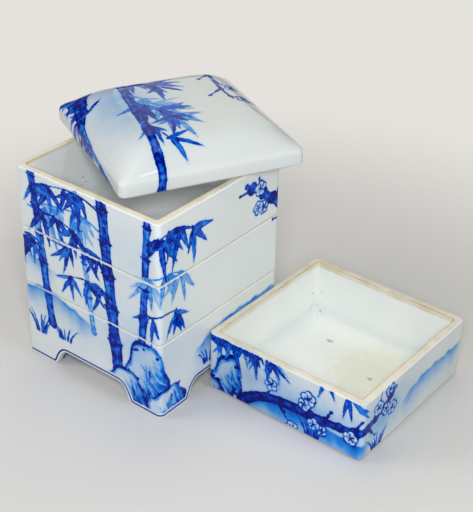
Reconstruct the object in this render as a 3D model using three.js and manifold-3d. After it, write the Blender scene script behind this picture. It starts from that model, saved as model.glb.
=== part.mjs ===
// Porcelain jubako, in millimetres, +Z up. A footed base tier carries two plain tiers, a fourth tier
// stands beside the stack, and a domed lid lies askew on the top rim. Each piece is one fired body.
import * as THREE from 'three';
import { mergeVertices } from 'three/addons/utils/BufferGeometryUtils.js';
import Module from 'manifold-3d';

const wasm = await Module();
wasm.setup();

// Trays: a square box with a flat bare rim and a shallow foot ring that nests in the tray below.
const TIER_SIDE = 150; // outside, wall to wall
const TIER_HEIGHT = 53.9; // lower edge of the wall to the rim
const WALL = 6.3;
const FLOOR = 5;
const CORNER_RADIUS = 4.5; // upright corners outside
const INNER_CORNER_RADIUS = 3; // upright corners inside
const FLOOR_FILLET = 3; // floor into wall, inside
const RIM_ROUND = 1.1; // outer edge of the rim
const RIM_INNER_ROUND = 0.6;
const LOWER_EDGE_ROUND = 1.2;
const FOOT_RING_DEPTH = 2;
const FOOT_RING_WIDTH = 7;

// Base: the wall runs on down into a skirt, and an arch in each side leaves four bracket feet.
const ARCH_HEIGHT = 16.8;
const ARCH_WIDTH = 85; // between the toes of two feet
const ARCH_CROWN = 56; // level run at the top of the arch
const TOE_LEAN = 4; // the ogee leaves the toe by this much inwards
const TOE_RISE = 6; // and this much upwards
const SHOULDER_REACH = 9; // pull of the ogee along the crown
const ARCH_LIP = 1.4; // skirt left between the crown and the underside of the floor
const FOOT_WALL = 9;
const FOOT_EDGE_ROUND = 0.8;

// Lid: an upright band, a pillow dome over it, and a flange under it that drops inside the rim.
const LID_OVERHANG = 1.5; // past the tier's wall on each side
const LID_CORNER_RADIUS = 4.5;
const LID_BAND = 13.9; // lower edge to the foot of the dome
const LID_SHOULDER_ROUND = 3; // band into dome
const LID_EDGE_ROUND = 1.5;
const DOME_RISE = 19.4;
const DOME_FLATNESS = 5.9; // exponent along each side: higher keeps the top flatter
const DOME_SHOULDER = 1.4; // exponent of the rise: higher eases the foot of the dome
const FLANGE_DEPTH = 5;
const FLANGE_WIDTH = 5;
const HOLLOW_WALL = 6; // upright inner wall of the hollow, above the lid's lower edge
const CROWN_THICKNESS = 6;

// Fits and resting places
const NEST_CLEARANCE = 0.8; // foot ring or flange to the wall it drops inside
const SEAT_GAP = 0.3; // a resting face to the face under it
const LID_SHIFT_X = 2; // middle of the lid from the middle of the stack
const LID_SHIFT_Y = 31.4;
const LID_TURN = THREE.MathUtils.degToRad(-27.1);
const LOOSE_GAP = 1.2; // loose tier's wall to the base's wall
const LOOSE_SHIFT_Y = 57.5;

// Facets
const CORNER_STEPS = 5; // per upright corner
const ROUND_DIVISIONS = 2; // a rounded edge has twice as many facets
const LID_RUN_STEPS = 8; // along each straight side of the lid
const DOME_RINGS = 11;
const HOLLOW_RINGS = 7;
const OGEE_SEGMENTS = 9;

const OUTER_HALF = TIER_SIDE / 2;
const INNER_HALF = OUTER_HALF - WALL;
const NEST_HALF = INNER_HALF - NEST_CLEARANCE;
const BASE_HEIGHT = ARCH_HEIGHT + TIER_HEIGHT;
const TIER_PITCH = TIER_HEIGHT + SEAT_GAP;

// A rounded square seen from above, anticlockwise: each corner arc, then the straight run after it.
function squareRing(half, radius, height, runSteps = 1) {
  const ring = [];
  const centre = half - radius;
  const up = new THREE.Vector3(0, 0, 1);
  for (let side = 0; side < 4; side++) {
    const place = (x, y) => {
      ring.push(new THREE.Vector3(x, y, height).applyAxisAngle(up, side * Math.PI / 2));
    };
    for (let step = 0; step <= CORNER_STEPS; step++) {
      const turn = step / CORNER_STEPS * Math.PI / 2;
      place(centre + radius * Math.cos(turn), centre + radius * Math.sin(turn));
    }
    for (let step = 1; step < runSteps; step++) {
      place(centre * (1 - 2 * step / runSteps), half);
    }
  }
  return ring;
}

// A closed skin through rings of equal count, with a fan to a middle point at each end.
function loft(rings, firstMiddle, lastMiddle) {
  const count = rings[0].length;
  const points = [...rings.flat(), firstMiddle, lastMiddle];
  const first = points.length - 2;
  const last = points.length - 1;
  const top = (rings.length - 1) * count;
  const index = [];
  for (let i = 0; i < count; i++) {
    const next = (i + 1) % count;
    index.push(first, next, i);
    for (let start = 0; start < top; start += count) {
      index.push(start + i, start + next, start + count + next);
      index.push(start + i, start + count + next, start + count + i);
    }
    index.push(last, top + i, top + next);
  }
  const geometry = new THREE.BufferGeometry().setFromPoints(points);
  geometry.setIndex(index);
  return geometry;
}

function trayRadius(half) {
  return Math.max(INNER_CORNER_RADIUS, CORNER_RADIUS - (OUTER_HALF - half));
}

// Carries a profile of half width against height round the square, as a potter's square mould does.
function sweepSquare(profile) {
  const rings = profile.getPoints(ROUND_DIVISIONS).map((p) => squareRing(p.x, trayRadius(p.x), p.y));
  const level = (ring) => new THREE.Vector3(0, 0, ring[0].z);
  return loft(rings, level(rings[0]), level(rings[rings.length - 1]));
}

// Continues a profile up the outer wall, over the rim and down to the inside floor.
function addWall(profile, edgeRound, rim, floor) {
  const right = 0;
  const up = Math.PI / 2;
  profile.absarc(OUTER_HALF - edgeRound, edgeRound, edgeRound, -up, right);
  profile.absarc(OUTER_HALF - RIM_ROUND, rim - RIM_ROUND, RIM_ROUND, right, up);
  profile.absarc(INNER_HALF + RIM_INNER_ROUND, rim - RIM_INNER_ROUND, RIM_INNER_ROUND, up, Math.PI);
  profile.absarc(INNER_HALF - FLOOR_FILLET, floor + FLOOR_FILLET, FLOOR_FILLET, right, -up, true);
  return profile;
}

function tierGeometry() {
  const ringInner = NEST_HALF - FOOT_RING_WIDTH;
  const profile = new THREE.Path();
  profile.moveTo(ringInner, 0);
  profile.lineTo(ringInner, -FOOT_RING_DEPTH);
  profile.lineTo(NEST_HALF, -FOOT_RING_DEPTH);
  profile.lineTo(NEST_HALF, 0);
  return sweepSquare(addWall(profile, LOWER_EDGE_ROUND, TIER_HEIGHT, FLOOR));
}

function toSolid(geometry) {
  const bare = geometry.clone();
  bare.deleteAttribute('normal');
  bare.deleteAttribute('uv');
  const merged = mergeVertices(bare);
  const vertProperties = new Float32Array(merged.getAttribute('position').array);
  const triVerts = new Uint32Array(merged.getIndex().array);
  return new wasm.Manifold(new wasm.Mesh({ numProp: 3, vertProperties, triVerts }));
}

function toGeometry(solid) {
  const mesh = solid.getMesh();
  const geometry = new THREE.BufferGeometry();
  geometry.setAttribute('position', new THREE.BufferAttribute(mesh.vertProperties, 3));
  geometry.setIndex(new THREE.BufferAttribute(mesh.triVerts, 1));
  return geometry;
}

// The space under two facing sides: an ogee arch drawn across the side and run right through the base.
function archGeometry() {
  const toe = ARCH_WIDTH / 2;
  const crown = ARCH_CROWN / 2;
  const below = -TOE_RISE;
  const length = TIER_SIDE + 2 * TOE_RISE;
  const arch = new THREE.Shape();
  arch.moveTo(-toe, below);
  arch.lineTo(toe, below);
  arch.lineTo(toe, 0);
  arch.bezierCurveTo(toe - TOE_LEAN, TOE_RISE, crown + SHOULDER_REACH, ARCH_HEIGHT, crown, ARCH_HEIGHT);
  arch.lineTo(-crown, ARCH_HEIGHT);
  arch.bezierCurveTo(-crown - SHOULDER_REACH, ARCH_HEIGHT, -toe + TOE_LEAN, TOE_RISE, -toe, 0);
  const options = { depth: length, bevelEnabled: false, curveSegments: OGEE_SEGMENTS };
  const geometry = new THREE.ExtrudeGeometry(arch, options);
  geometry.rotateX(Math.PI / 2);
  geometry.translate(0, length / 2, 0);
  return geometry;
}

function baseGeometry() {
  const underside = ARCH_HEIGHT + ARCH_LIP;
  const skirtInner = OUTER_HALF - FOOT_WALL;
  const profile = new THREE.Path();
  profile.moveTo(skirtInner, underside);
  profile.lineTo(skirtInner, 0);
  const box = sweepSquare(addWall(profile, FOOT_EDGE_ROUND, BASE_HEIGHT, underside + FLOOR));
  const alongY = toSolid(archGeometry());
  const alongX = toSolid(archGeometry().rotateZ(Math.PI / 2));
  return toGeometry(toSolid(box).subtract(alongY).subtract(alongX));
}

// One ring of a pillow dome. It rises as ((1 - s^n)(1 - (s t)^n))^m, where s is the ring's scale, t runs
// from 0 at the middle of a side to 1 at a corner, n is the flatness and m the shoulder. Near its outline
// it drops by a quarter circle of the edge's radius.
function domeRing(half, radius, foot, rise, edgeRound, scale) {
  const inset = Math.min(half * (1 - scale), edgeRound);
  const drop = edgeRound - Math.sqrt(edgeRound ** 2 - (edgeRound - inset) ** 2);
  return squareRing(half, radius, 0, LID_RUN_STEPS).map((point) => {
    const across = Math.max(Math.abs(point.x), Math.abs(point.y));
    const along = Math.min(Math.abs(point.x), Math.abs(point.y)) / across;
    const fall = (1 - scale ** DOME_FLATNESS) * (1 - (scale * along) ** DOME_FLATNESS);
    const height = foot - drop + rise * fall ** DOME_SHOULDER;
    return new THREE.Vector3(point.x * scale, point.y * scale, height);
  });
}

// Rings from just inside a dome's edge to just outside its crown, closer together at the steep shoulder.
function domeRings(half, radius, foot, rise, edgeRound, count) {
  const rings = [];
  for (let ring = 1; ring <= count; ring++) {
    const scale = 1 - (ring / (count + 1)) ** 2;
    rings.push(domeRing(half, radius, foot, rise, edgeRound, scale));
  }
  return rings;
}

function lidGeometry() {
  const lidHalf = OUTER_HALF + LID_OVERHANG;
  const hollowHalf = NEST_HALF - FLANGE_WIDTH;
  const crown = LID_BAND + DOME_RISE;
  const hollowCrown = crown - CROWN_THICKNESS;
  const edge = new THREE.Path();
  edge.moveTo(hollowHalf, HOLLOW_WALL);
  edge.lineTo(hollowHalf, -FLANGE_DEPTH);
  edge.lineTo(NEST_HALF, -FLANGE_DEPTH);
  edge.lineTo(NEST_HALF, 0);
  edge.absarc(lidHalf - LID_EDGE_ROUND, LID_EDGE_ROUND, LID_EDGE_ROUND, -Math.PI / 2, 0);
  edge.lineTo(lidHalf, LID_BAND - LID_SHOULDER_ROUND);
  const radius = (half) => Math.max(INNER_CORNER_RADIUS, LID_CORNER_RADIUS - (lidHalf - half));
  const edgeRings = edge.getPoints(ROUND_DIVISIONS).map((p) => {
    return squareRing(p.x, radius(p.x), p.y, LID_RUN_STEPS);
  });
  const hollowRise = hollowCrown - HOLLOW_WALL;
  const hollow = domeRings(hollowHalf, radius(hollowHalf), HOLLOW_WALL, hollowRise, 0, HOLLOW_RINGS);
  const dome = domeRings(
    lidHalf, LID_CORNER_RADIUS, LID_BAND, DOME_RISE, LID_SHOULDER_ROUND, DOME_RINGS,
  );
  const rings = [...hollow.reverse(), ...edgeRings, ...dome];
  return loft(rings, new THREE.Vector3(0, 0, hollowCrown), new THREE.Vector3(0, 0, crown));
}

function piece(name, geometry, color, height) {
  const glaze = new THREE.MeshStandardMaterial({ color, roughness: 0.12, metalness: 0, flatShading: true });
  const mesh = new THREE.Mesh(geometry, glaze);
  mesh.name = name;
  mesh.position.z = height;
  return mesh;
}

const TIER_WHITE = 0xd3dade;
const LID_WHITE = 0xd8dddd;
const middleSeat = BASE_HEIGHT + SEAT_GAP;
const upperSeat = middleSeat + TIER_PITCH;
const lidSeat = upperSeat + TIER_PITCH + FLANGE_DEPTH;

const jubako = new THREE.Group();
jubako.add(piece('base_tier', baseGeometry(), TIER_WHITE, 0));
jubako.add(piece('middle_tier', tierGeometry(), TIER_WHITE, middleSeat));
jubako.add(piece('upper_tier', tierGeometry(), TIER_WHITE, upperSeat));

const lid = piece('lid', lidGeometry(), LID_WHITE, lidSeat);
lid.position.x = LID_SHIFT_X;
lid.position.y = LID_SHIFT_Y;
lid.rotation.z = LID_TURN;
jubako.add(lid);

const looseTier = piece('loose_tier', tierGeometry(), TIER_WHITE, FOOT_RING_DEPTH);
looseTier.position.x = TIER_SIDE + LOOSE_GAP;
looseTier.position.y = LOOSE_SHIFT_Y;
jubako.add(looseTier);

// The origin is the middle of the whole set's box, on the table.
const bounds = new THREE.Box3().setFromObject(jubako, true);
const middle = bounds.getCenter(new THREE.Vector3());
jubako.position.set(-middle.x, -middle.y, -bounds.min.z);

export default jubako;
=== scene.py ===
from math import comb

import bpy
import numpy as np
from mathutils import Matrix, Vector


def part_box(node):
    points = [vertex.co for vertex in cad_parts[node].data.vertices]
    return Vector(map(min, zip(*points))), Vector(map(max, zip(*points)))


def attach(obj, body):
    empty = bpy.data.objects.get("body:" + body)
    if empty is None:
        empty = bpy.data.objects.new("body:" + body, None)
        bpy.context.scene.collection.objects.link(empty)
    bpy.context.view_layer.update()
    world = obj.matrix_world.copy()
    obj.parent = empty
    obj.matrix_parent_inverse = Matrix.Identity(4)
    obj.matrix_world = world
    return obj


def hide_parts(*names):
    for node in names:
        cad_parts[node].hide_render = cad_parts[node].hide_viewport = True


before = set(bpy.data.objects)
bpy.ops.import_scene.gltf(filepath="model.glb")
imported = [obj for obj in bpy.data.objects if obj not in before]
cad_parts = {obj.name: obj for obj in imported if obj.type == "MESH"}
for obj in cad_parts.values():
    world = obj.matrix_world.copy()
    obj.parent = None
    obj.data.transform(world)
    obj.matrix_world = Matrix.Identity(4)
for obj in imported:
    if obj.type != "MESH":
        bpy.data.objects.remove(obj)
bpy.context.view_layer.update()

# Base tier: the lowest tray of the set, white porcelain whose wall runs down into four bracket feet.
# It is cast in one piece, painted in cobalt, glazed and fired; the rim and the soles are wiped bare.
# Sizes are in millimetres, as they are measured on the piece, and MM turns them into the frame's metres.
MM = 0.001
WALL = 6.3
FLOOR = 5.0
CORNER_RADIUS = 4.5
INNER_CORNER_RADIUS = 3.0
TIGHTEST_RING = 0.6
FLOOR_FILLET = 3.0
RIM_ROUND = 1.1
RIM_INNER_ROUND = 0.6
SOFT_EDGE = 0.5
FOOT_WALL = 9.0
FOOT_EDGE_ROUND = 0.8
ARCH_HEIGHT = 16.8
ARCH_LIP = 1.4
ARCH_FOOT = 42.5
ARCH_CROWN = 28.0
ARCH_TOE = (38.5, 6.0)
ARCH_SHOULDER = 37.0
ARCH_STEPS = 60
FACE_BOW = 0.35
BOW_DRIFT = 90.0
RIM_SAG = 0.28
SAG_REACH = 14.0
SAG_WAVE = 37.0
SAG_RIPPLE = 19.0
FACE_POINTS = 178
CORNER_POINTS = 9
WALL_ROWS = 66
EDGE_ROWS = 5
POLE_RING = 2.0


def box_mm(node):
    """Lowest and highest corner of a CAD node, in millimetres."""
    low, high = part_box(node)
    return np.array(low) / MM, np.array(high) / MM


def square_stations(face_points, corner_points):
    """Stations round a square: along each face a run from -1 to 1, then a turn of up to 90 degrees round
    the corner after it; side counts the faces, starting with the one that looks along -Y."""
    run = np.concatenate([np.linspace(-1, 1, face_points), np.ones(corner_points)])
    turn = np.concatenate([np.zeros(face_points), np.linspace(0, np.pi / 2, corner_points + 2)[1:-1]])
    return np.tile(run, 4), np.tile(turn, 4), np.repeat(np.arange(4), run.size)


def turned(x, y, angle):
    """x and y turned about the upright axis."""
    return x * np.cos(angle) - y * np.sin(angle), x * np.sin(angle) + y * np.cos(angle)


def square_rings(stations, half, radius):
    """x and y of rings round a square with rounded corners. On a face a point runs from one corner arc to
    the next, on the arc it turns through 90 degrees, and each face is the first, turned by quarters."""
    run, turn, side = stations
    reach = half - radius
    return turned(run * reach + radius * np.sin(turn), -reach - radius * np.cos(turn), side * np.pi / 2)


def arc(centre, radius, start, end, steps):
    """Profile points on a circle, from one angle to another in degrees, as half-widths and heights."""
    angle = np.radians(np.linspace(start, end, steps))
    return np.stack([centre[0] + radius * np.cos(angle), centre[1] + radius * np.sin(angle)], axis=1)


def straight(start, end, steps):
    """Profile points between two places on a straight line, without its two ends."""
    share = np.linspace(0, 1, steps + 2)[1:-1, None]
    return np.array(start) * (1 - share) + np.array(end) * share


def corner_radius(half, outer):
    """Radius of the corner at a half-width: the outer corner's, less what the wall steps in, down to the
    inner corner's, and always smaller than the ring itself."""
    stepped = np.clip(CORNER_RADIUS - (outer - half), INNER_CORNER_RADIUS, CORNER_RADIUS)
    return np.minimum(stepped, TIGHTEST_RING * half)


def tray_inside(outer, rim, floor):
    """Profile of rim and inside of a tray, from the outer edge of the rim over its flat and down the inner
    wall to the middle of the floor."""
    inner = outer - WALL
    return np.concatenate([
        arc((outer - RIM_ROUND, rim - RIM_ROUND), RIM_ROUND, 0, 90, EDGE_ROWS),
        straight((outer - RIM_ROUND, rim), (inner + RIM_INNER_ROUND, rim), 7),
        arc((inner + RIM_INNER_ROUND, rim - RIM_INNER_ROUND), RIM_INNER_ROUND, 90, 180, 4),
        straight((inner, rim - RIM_INNER_ROUND), (inner, floor + FLOOR_FILLET), 11),
        arc((inner - FLOOR_FILLET, floor + FLOOR_FILLET), FLOOR_FILLET, 0, -90, 6),
        straight((inner - FLOOR_FILLET, floor), (POLE_RING, floor), 8),
    ])


def loop_place(stations, outer):
    """Distance along the outside of a wall, in millimetres from the middle of its first face, and the
    length of the whole loop: four faces and four quarter circles."""
    run, turn, side = stations
    face = 2 * (outer - CORNER_RADIUS)
    pitch = face + CORNER_RADIUS * np.pi / 2
    return side * pitch + run * face / 2 + CORNER_RADIUS * turn, 4 * pitch


def hand_made(stations, half, height, rim, foot, wave):
    """What hand work leaves on a tray: the wall bows in a little at mid height and the rim dips in slow
    waves. Both only take away, so the piece stays inside its true size."""
    along = loop_place(stations, np.max(half))[0]
    level = np.clip((height - foot) / (rim - foot), 0, 1)
    slow = 0.6 + 0.4 * np.sin(along / BOW_DRIFT + wave)
    bow = FACE_BOW * np.sin(np.pi * level) ** 2 * np.cos(np.pi / 2 * stations[0]) * slow
    near_rim = np.clip((height - rim + SAG_REACH) / SAG_REACH, 0, 1) ** 2
    waves = 0.5 + 0.3 * np.sin(along / SAG_WAVE + wave) + 0.2 * np.sin(along / SAG_RIPPLE + 2 * wave)
    return half - bow, height - RIM_SAG * near_rim * waves


def put_in(name, data):
    """A mesh, lamp or camera as an object in the scene, at the frame's origin."""
    thing = bpy.data.objects.new(name, data)
    bpy.context.scene.collection.objects.link(thing)
    return thing


def porcelain_piece(name, centre, x, y, z, pole_heights, fields):
    """A closed skin over a grid of rings: quads join neighbours along and across the rings, the last
    station joins the first, and a fan of triangles closes each end on a pole over the centre."""
    rows, stations = x.shape
    rings = np.stack([x + centre[0], y + centre[1], z], axis=-1).reshape(-1, 3)
    poles = [(centre[0], centre[1], up) for up in pole_heights]
    index = np.arange(rows * stations).reshape(rows, stations)
    after = np.roll(index, -1, axis=1)
    quads = np.stack([index[:-1], after[:-1], after[1:], index[1:]], axis=-1).reshape(-1, 4)
    under = np.full(stations, rows * stations)
    first_fan = np.stack([under, after[0], index[0]], axis=1)
    last_fan = np.stack([under + 1, index[-1], after[-1]], axis=1)
    faces = quads.tolist() + first_fan.tolist() + last_fan.tolist()
    mesh = bpy.data.meshes.new(name)
    mesh.from_pydata(np.concatenate([rings, poles]) * MM, [], faces)
    mesh.shade_smooth()
    for label, values in fields.items():
        spread = np.broadcast_to(values, (rows, stations))
        filled = np.concatenate([spread.ravel(), [spread[0].mean(), spread[-1].mean()]])
        mesh.attributes.new(label, "FLOAT", "POINT").data.foreach_set("value", filled.astype(np.float32))
    return put_in(name, mesh)


# The painter's marks are kept as distances in millimetres inside their edges, and as tones; FAR is a
# distance at which no mark, bare clay or line shows.
FAR = 9.0
BRUSH_MARGIN = 4.0
THIN_MARK = 0.3
INK_RIM = 1.6
PALEST_INK = 0.04


def blank_panel(along, up, loop):
    """An unpainted surface: where each grid point lies on it, in millimetres along and up, and the ink
    that it holds. An edge is the distance inside a brush mark, a tone how dark the mark is there."""
    along, up = np.broadcast_arrays(along, up)
    none = np.zeros(along.shape)
    return {"along": along, "up": up, "loop": loop, "wash": none.copy(), "body_edge": none - FAR,
            "body_tone": none.copy(), "dark_edge": none - FAR, "dark_tone": none.copy()}


def seen_from(panel, centre):
    """Distances along and up from a place on the panel, the short way round its loop."""
    along = (panel["along"] - centre[0] + panel["loop"] / 2) % panel["loop"] - panel["loop"] / 2
    return along, panel["up"] - centre[1]


def ink_fields(panel, painted, room):
    """The panel's ink where it is painted and there is room for it, and none elsewhere."""
    fields = {layer: np.where(painted, np.minimum(panel[layer], room), -FAR)
              for layer in ("body_edge", "dark_edge")}
    fields.update({layer: np.where(painted, panel[layer], 0) for layer in ("body_tone", "dark_tone", "wash")})
    return fields


def stroke_path(points, count):
    """Places along one sweep of the brush: the Bezier curve of its few control points."""
    share = np.linspace(0, 1, count)[:, None]
    last = len(points) - 1
    terms = [comb(last, k) * share ** k * (1 - share) ** (last - k) * np.array(point)
             for k, point in enumerate(points)]
    return np.sum(terms, axis=0)


def brush(panel, layer, points, swell, tone, fade=0.0, streak=0.0, rim_tone=0.0, wave=0.0):
    """One brush mark: the curve through its control points, as thick at each stage as swell says (half
    widths, start to end). The edge is the half width less the distance to the curve; the tone fades
    towards the tip, parts into streaks along the hairs and can darken at the rim of the mark."""
    path = stroke_path(points, 4 + 4 * len(points))
    middle = path.mean(axis=0)
    along, up = seen_from(panel, middle)
    path = path - middle
    margin = max(swell) + BRUSH_MARGIN
    low = path.min(axis=0) - margin
    high = path.max(axis=0) + margin
    near = (along > low[0]) & (along < high[0]) & (up > low[1]) & (up < high[1])
    if not near.any():
        return
    spot = np.stack([along[near], up[near]], axis=1)[:, None, :]
    step = np.diff(path, axis=0)
    length = np.maximum((step ** 2).sum(axis=1), 1e-9)
    share = np.clip(((spot - path[:-1]) * step).sum(axis=2) / length, 0, 1)
    offset = spot - path[:-1] - share[..., None] * step
    gap = np.hypot(offset[..., 0], offset[..., 1])
    stage = (np.arange(len(step)) + share) / len(step)
    width = np.interp(stage, np.linspace(0, 1, len(swell)), swell)
    best = np.argmax(width - gap, axis=1)
    pick = np.arange(len(best))
    stage = stage[pick, best]
    width = width[pick, best]
    gap = gap[pick, best]
    heading = step[best]
    across = offset[pick, best]
    beside = np.sign(heading[:, 0] * across[:, 1] - heading[:, 1] * across[:, 0])
    lane = beside * gap / np.maximum(width, THIN_MARK)
    hairs = (0.5 * np.sin(5 * lane + 5 * wave) + 0.3 * np.sin(11 * lane + 3 * wave)
             + 0.2 * np.sin(5 * stage + wave))
    edge = width - gap
    pooled = 1 + rim_tone * np.clip(1 - edge / INK_RIM, 0, 1)
    ink = tone * (1 - fade * stage) * (1 + streak * hairs) * pooled
    old_edge = panel[layer + "_edge"][near]
    old_tone = panel[layer + "_tone"][near]
    over = (edge > 0) | (edge > old_edge)
    panel[layer + "_tone"][near] = np.where(over, np.clip(ink, PALEST_INK, 1), old_tone)
    panel[layer + "_edge"][near] = np.maximum(edge, old_edge)


def linear(red, green, blue):
    """A colour as it looks on screen, 0 to 255, as the linear light that a shader works with."""
    share = np.array([red, green, blue]) / 255
    light = np.where(share > 0.04045, ((share + 0.055) / 1.055) ** 2.4, share / 12.92)
    return (*light.tolist(), 1.0)


def feed(socket, value):
    """Set an input to a number or colour, or link another socket to it."""
    if isinstance(value, bpy.types.NodeSocket):
        socket.id_data.links.new(value, socket)
    else:
        socket.default_value = value


def place(tree, kind, feeds=(), **settings):
    """Add a node: settings are its own properties, feeds its input sockets, as numbers or as links."""
    node = tree.nodes.new(kind)
    for label, value in settings.items():
        setattr(node, label, value)
    for socket, value in dict(feeds).items():
        feed(node.inputs[socket], value)
    return node


def home(values):
    """The node tree that the sockets among some values belong to."""
    return next(value.id_data for value in values if isinstance(value, bpy.types.NodeSocket))


def calc(operation, *values, clamp=False):
    """One step of arithmetic on sockets or numbers."""
    feeds = dict(enumerate(values))
    return place(home(values), "ShaderNodeMath", feeds, operation=operation, use_clamp=clamp).outputs[0]


def reckon(operation, *values):
    """One step of arithmetic on places, as the outputs of its node."""
    return place(home(values), "ShaderNodeVectorMath", dict(enumerate(values)), operation=operation).outputs


def ease(value, low, high, to_low=0.0, to_high=1.0):
    """A smooth step: to_low below low, to_high above high."""
    feeds = {"Value": value, "From Min": low, "From Max": high, "To Min": to_low, "To Max": to_high}
    step = place(value.id_data, "ShaderNodeMapRange", feeds, interpolation_type="SMOOTHSTEP")
    return step.outputs["Result"]


def cloud(where, scale, detail=2.0):
    """Soft noise between 0 and 1 over the surface; scale is patches per metre."""
    feeds = {"Vector": where, "Scale": scale, "Detail": detail}
    return place(where.id_data, "ShaderNodeTexNoise", feeds).outputs["Fac"]


def sway(noise, swing):
    """Noise between 0 and 1 laid evenly about nought, as wide as the swing."""
    return calc("MULTIPLY_ADD", noise, swing, -swing / 2)


def blend_colour(share, first, second, mode="MIX"):
    """Two colours mixed by a share from 0 to 1."""
    feeds = {0: share, 6: first, 7: second}
    return place(home(feeds.values()), "ShaderNodeMix", feeds, data_type="RGBA", blend_type=mode).outputs[2]


def new_group(name, inputs, outputs):
    """An empty node group with its sockets, and the sockets to read from and write to inside it."""
    tree = bpy.data.node_groups.new(name, "ShaderNodeTree")
    kinds = {"vector": "NodeSocketVector", "colour": "NodeSocketColor", "value": "NodeSocketFloat"}
    for direction, sockets in (("INPUT", inputs), ("OUTPUT", outputs)):
        for label, kind in sockets.items():
            tree.interface.new_socket(label, in_out=direction, socket_type=kinds[kind])
    return tree, tree.nodes.new("NodeGroupInput").outputs, tree.nodes.new("NodeGroupOutput").inputs


def effect(group, feeds):
    """One of the node groups placed in a material with its own values, as its outputs."""
    return place(home(feeds.values()), "ShaderNodeGroup", feeds, node_tree=group).outputs


# How cobalt ink lies on the clay: ragged at the edges of a mark, darker where it pooled, grainy inside,
# with a faint bleed round it once the glaze has melted over it. Fine, middling and slow noise make it so.
INK_FINE = 900
INK_MOTTLE = 210
INK_DRIFT = 60
FINE_RAG = 1.2
COARSE_RAG = 1.6
WASH_SWING = 1.5
WASH_LEAST = 0.25
BODY_GRAIN = 2.4
DARK_GRAIN = 1.9
EDGE_BLUR = 0.4
POOL_GAIN = 1.25
POOL_WIDTH = (0.1, 1.6)
BLEED_REACH = 2.4
BLEED = 0.055
ink_lay, lay_in, lay_out = new_group(
    "ink_lay", {"Place": "vector", "Wash": "value", "Body Edge": "value", "Body Tone": "value",
                "Dark Edge": "value", "Dark Tone": "value"}, {"Density": "value"})
hair_grain = cloud(lay_in["Place"], INK_FINE)
mottle = cloud(lay_in["Place"], INK_MOTTLE, detail=4.0)
drift = cloud(lay_in["Place"], INK_DRIFT, detail=3.0)
ragged = calc("ADD", sway(hair_grain, FINE_RAG), sway(mottle, COARSE_RAG))
uneven = calc("MULTIPLY_ADD", drift, WASH_SWING, WASH_LEAST)
thin_wash = calc("MULTIPLY", lay_in["Wash"], uneven, clamp=True)
unpainted = calc("SUBTRACT", 1.0, thin_wash)
for mark, grain in (("Body", BODY_GRAIN), ("Dark", DARK_GRAIN)):
    worn_edge = calc("ADD", lay_in[mark + " Edge"], ragged)
    cover = ease(worn_edge, -EDGE_BLUR, EDGE_BLUR)
    grainy = calc("MULTIPLY_ADD", mottle, grain, 1.0 - grain / 2)
    pooled = ease(worn_edge, *POOL_WIDTH, POOL_GAIN, 1.0)
    tone = calc("MULTIPLY", calc("MULTIPLY", lay_in[mark + " Tone"], grainy), pooled)
    bleed = ease(worn_edge, -BLEED_REACH, EDGE_BLUR, 0.0, BLEED)
    mark_density = calc("MAXIMUM", calc("MULTIPLY", cover, tone, clamp=True), bleed)
    unpainted = calc("MULTIPLY", unpainted, calc("SUBTRACT", 1.0, mark_density))
feed(lay_out["Density"], calc("SUBTRACT", 1.0, unpainted, clamp=True))

# Colour of cobalt under clear glaze: the bare white, a watery sky blue, full blue, and near-black navy
# where the ink is thickest.
INK_STEPS = ((0.0, linear(255, 255, 255)), (0.15, linear(170, 208, 254)), (0.35, linear(46, 155, 248)),
             (0.6, linear(0, 100, 232)), (0.8, linear(0, 60, 202)), (1.0, linear(0, 16, 132)))
cobalt, cobalt_in, cobalt_out = new_group(
    "cobalt_colour", {"Density": "value", "White": "colour"}, {"Colour": "colour"})
ink_ramp = place(cobalt, "ShaderNodeValToRGB", {"Fac": cobalt_in["Density"]})
ink_stops = ink_ramp.color_ramp.elements
ink_stops[0].position, ink_stops[0].color = INK_STEPS[0]
ink_stops[1].position, ink_stops[1].color = INK_STEPS[-1]
for position, colour in INK_STEPS[1:-1]:
    ink_stops.new(position).color = colour
feed(cobalt_out["Colour"], blend_colour(1.0, ink_ramp.outputs["Color"], cobalt_in["White"], "MULTIPLY"))

# The glaze itself: a faint drift of tint over the surface, greener where it pooled thick in a corner and
# whiter where it ran thin over an edge; on the trays' upright corners that whiter glaze is partly a painted
# highlight, and the whiter glaze over their insides is painted light. It has a slow ripple and a gloss that
# is not quite even.
TINT_DRIFT = 14
TINT_SWING = 0.6
SLOW_RIPPLE = 38
FINE_RIPPLE = 260
FINE_SHARE = 0.1
GLOSS_PATCH = 90
GLOSS_EDGE = (0.3, 0.75)
GLOSS_ROUGHNESS = (0.02, 0.05)
glaze, glaze_in, glaze_out = new_group(
    "glaze_skin", {"Place": "vector", "Depth": "value", "Thin": "colour", "Pooled": "colour"},
    {"Colour": "colour", "Ripple": "value", "Gloss": "value"})
slow_drift = sway(cloud(glaze_in["Place"], TINT_DRIFT), TINT_SWING)
depth = calc("ADD", glaze_in["Depth"], slow_drift, clamp=True)
feed(glaze_out["Colour"], blend_colour(depth, glaze_in["Thin"], glaze_in["Pooled"]))
fine_ripple = calc("MULTIPLY", cloud(glaze_in["Place"], FINE_RIPPLE), FINE_SHARE)
feed(glaze_out["Ripple"], calc("ADD", cloud(glaze_in["Place"], SLOW_RIPPLE), fine_ripple))
feed(glaze_out["Gloss"], ease(cloud(glaze_in["Place"], GLOSS_PATCH), *GLOSS_EDGE, *GLOSS_ROUGHNESS))

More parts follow.
